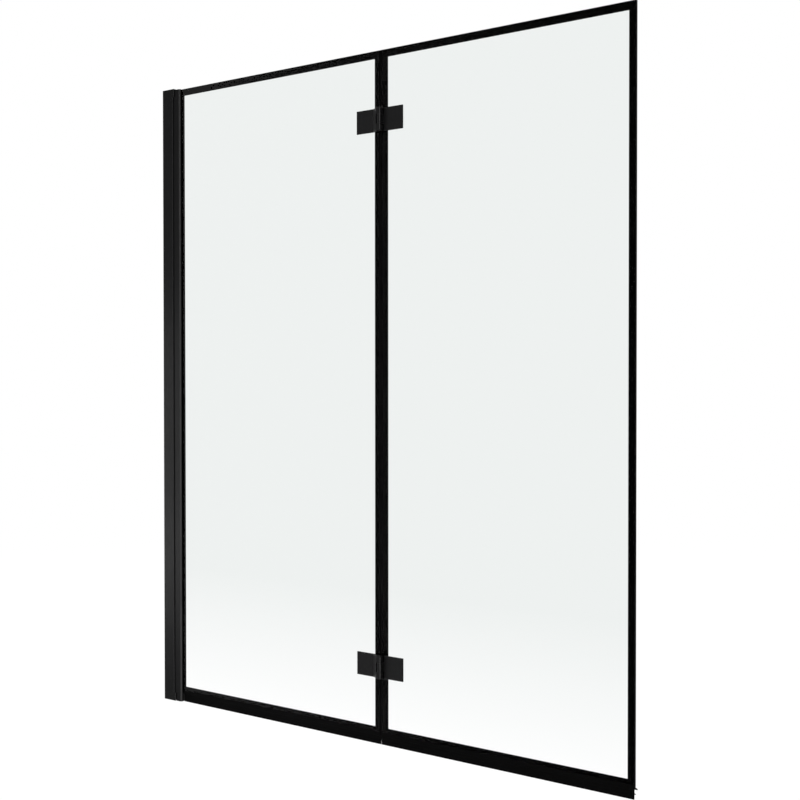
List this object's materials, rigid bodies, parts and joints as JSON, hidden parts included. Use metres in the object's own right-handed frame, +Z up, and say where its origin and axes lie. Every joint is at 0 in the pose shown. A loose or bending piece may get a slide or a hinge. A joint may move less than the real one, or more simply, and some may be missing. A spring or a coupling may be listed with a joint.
{
  "type": "folding bath screen",
  "caption": "Folding bath screen: fixed glass pane in a telescoping black wall profile, outer glass pane on black hinges, black enamel borders and wiping seals below.",
  "frame": {"origin": "middle of the wall fixing, on the wall face of the wall profile and in the mid-plane of the glass, 700 mm above the bath rim", "axes": "+X from the wall along the screen, +Y from the room side to the bath side, +Z up"},
  "size_m": [1.2, 0.0327, 1.4],
  "materials": {
    "black_metal": "satin black powder coat",
    "clear_glass": "clear toughened glass",
    "enamel": "black enamel print on the bath side of the glass",
    "black_rubber": "soft black sealing strip",
    "black_plastic": "fine matt black moulding",
    "nylon": "black nylon",
    "steel": "blackened stainless steel"
  },
  "bodies": {
    "wall_side": {"wall_profile": "black_metal", "wall_top_cap": "black_plastic", "wall_foot_cap": "black_plastic", "clamp_screws": "steel"},
    "inner_panel": {"glass_profile": "black_metal", "profile_top_cap": "black_plastic", "profile_foot_cap": "black_plastic", "room_gasket": "black_rubber", "bath_gasket": "black_rubber", "setting_block": "black_plastic", "edge_spacers": "black_plastic", "inner_glass": "clear_glass", "inner_print": "enamel", "inner_bottom_seal": "black_rubber", "upper_fixed_leaf": "black_metal", "upper_fixed_back_plate": "black_metal", "upper_fixed_front_pad": "black_rubber", "upper_fixed_back_pad": "black_rubber", "upper_fixed_sleeves": "nylon", "upper_fixed_screws": "steel", "upper_hinge_pin": "steel", "lower_fixed_leaf": "black_metal", "lower_fixed_back_plate": "black_metal", "lower_fixed_front_pad": "black_rubber", "lower_fixed_back_pad": "black_rubber", "lower_fixed_sleeves": "nylon", "lower_fixed_screws": "steel", "lower_hinge_pin": "steel"},
    "outer_panel": {"outer_glass": "clear_glass", "outer_print": "enamel", "outer_bottom_seal": "black_rubber", "gap_seal": "black_rubber", "upper_turning_leaf": "black_metal", "upper_turning_back_plate": "black_metal", "upper_turning_front_pad": "black_rubber", "upper_turning_back_pad": "black_rubber", "upper_turning_sleeves": "nylon", "upper_turning_screws": "steel", "upper_bush": "nylon", "upper_washers": "nylon", "lower_turning_leaf": "black_metal", "lower_turning_back_plate": "black_metal", "lower_turning_front_pad": "black_rubber", "lower_turning_back_pad": "black_rubber", "lower_turning_sleeves": "nylon", "lower_turning_screws": "steel", "lower_bush": "nylon", "lower_washers": "nylon"}
  },
  "joints": [
    {"name": "width_adjust", "type": "slide", "parent": "wall_side", "child": "inner_panel", "axis": [1, 0, 0], "range_m": [-0.02, 0]},
    {"name": "fold", "type": "hinge", "parent": "inner_panel", "child": "outer_panel", "pos_m": [0.638, -0.014, 0], "axis": [0, 0, -1], "range_deg": [0, 180]}
  ]
}
